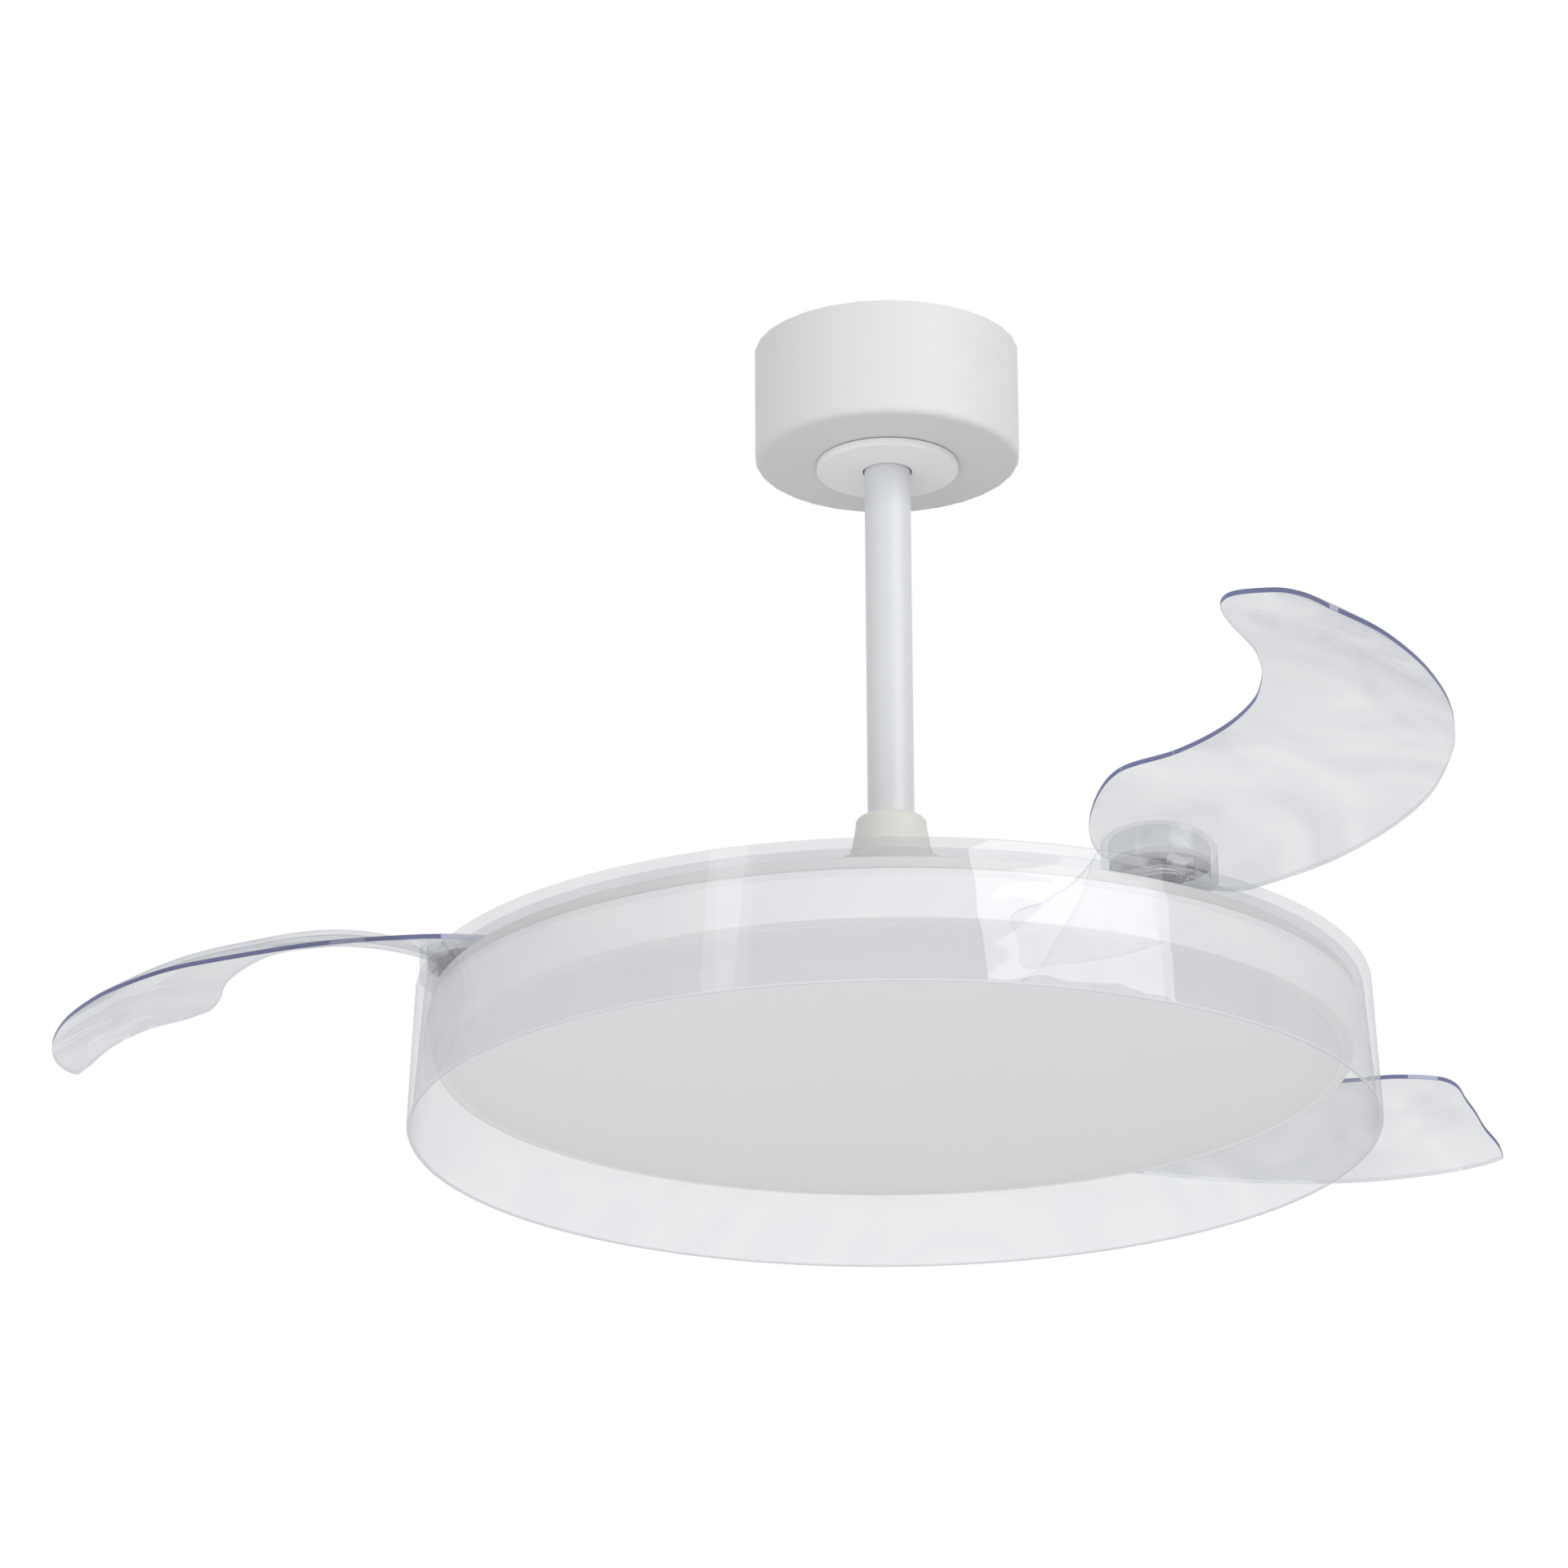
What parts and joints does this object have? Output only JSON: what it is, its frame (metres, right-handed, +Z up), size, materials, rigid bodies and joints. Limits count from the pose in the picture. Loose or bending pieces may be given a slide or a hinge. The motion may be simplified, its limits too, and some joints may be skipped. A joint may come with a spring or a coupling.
{
  "type": "retractable blade ceiling fan",
  "caption": "Ceiling fan on a short rod with a round lamp inside a clear pan and clear curved blades that swing out as it turns and fold in over the pan.",
  "frame": {"origin": "centre of the ceiling bracket's top face, on the ceiling plane", "axes": "+Z up into the ceiling along the rod and the axis of rotation; the fan hangs in -Z; -Y faces the viewer"},
  "size_m": [0.8801, 0.965, 0.4796],
  "materials": {
    "clear": "polished, clear",
    "opal": "satin, translucent",
    "white_plastic": "matt",
    "ivory_plastic": "matt",
    "black_plastic": "matt",
    "white_paint": "satin",
    "rod_paint": "satin",
    "cream_paint": "satin",
    "steel": "plain",
    "zinc": "zinc plated",
    "aluminium": "cast",
    "copper": "enamelled wire",
    "magnet": "plain"
  },
  "bodies": {
    "root": {"ceiling_bracket": "zinc", "hanger_ball": "black_plastic", "ball_pin": "steel", "canopy": "white_paint", "canopy_screw_1": "steel", "canopy_screw_2": "steel", "cover_disc": "white_plastic", "receiver_box": "white_plastic", "terminal_block": "black_plastic", "downrod": "rod_paint", "coupler": "zinc", "coupler_pin": "steel", "coupler_set_screw": "steel", "coupling_cover": "ivory_plastic", "motor_shaft": "steel", "stator_core": "steel", "stator_winding": "copper", "shaft_spacer": "steel", "lamp_tray": "cream_paint", "lamp_nut": "steel", "led_board": "aluminium", "led_driver": "white_plastic", "trim_ring": "white_plastic", "diffuser": "opal"},
    "rotor": {"motor_shell_top": "cream_paint", "motor_shell_bottom": "cream_paint", "magnet_ring": "magnet", "bearing_top": "steel", "bearing_bottom": "steel", "clear_pan": "clear", "pan_screw_1": "steel", "pan_screw_2": "steel", "pan_screw_3": "steel", "pan_screw_4": "steel", "pivot_pin_1": "steel", "pivot_pin_2": "steel", "pivot_pin_3": "steel", "pivot_nut_1": "steel", "pivot_nut_2": "steel", "pivot_nut_3": "steel", "return_spring_1": "steel", "return_spring_2": "steel", "return_spring_3": "steel"},
    "near_blade": {"blade_1": "clear", "blade_hub_1": "aluminium"},
    "far_blade": {"blade_2": "clear", "blade_hub_2": "aluminium"},
    "left_blade": {"blade_3": "clear", "blade_hub_3": "aluminium"}
  },
  "joints": [
    {"name": "fan_spin", "type": "hinge", "parent": "root", "child": "rotor", "pos_m": [0, 0, -0.375], "axis": [0, 0, 1], "continuous": true},
    {"name": "near_blade_fold", "type": "hinge", "parent": "rotor", "child": "near_blade", "pos_m": [0.14485, -0.18809, -0.3916], "axis": [0, 0, 1], "range_deg": [-112, 0]},
    {"name": "far_blade_fold", "type": "hinge", "parent": "rotor", "child": "far_blade", "pos_m": [0.09047, 0.21949, -0.3916], "axis": [0, 0, 1], "range_deg": [-103.5, 8.5]},
    {"name": "left_blade_fold", "type": "hinge", "parent": "rotor", "child": "left_blade", "pos_m": [-0.23531, -0.0314, -0.3916], "axis": [0, 0, 1], "range_deg": [-87, 25]}
  ]
}
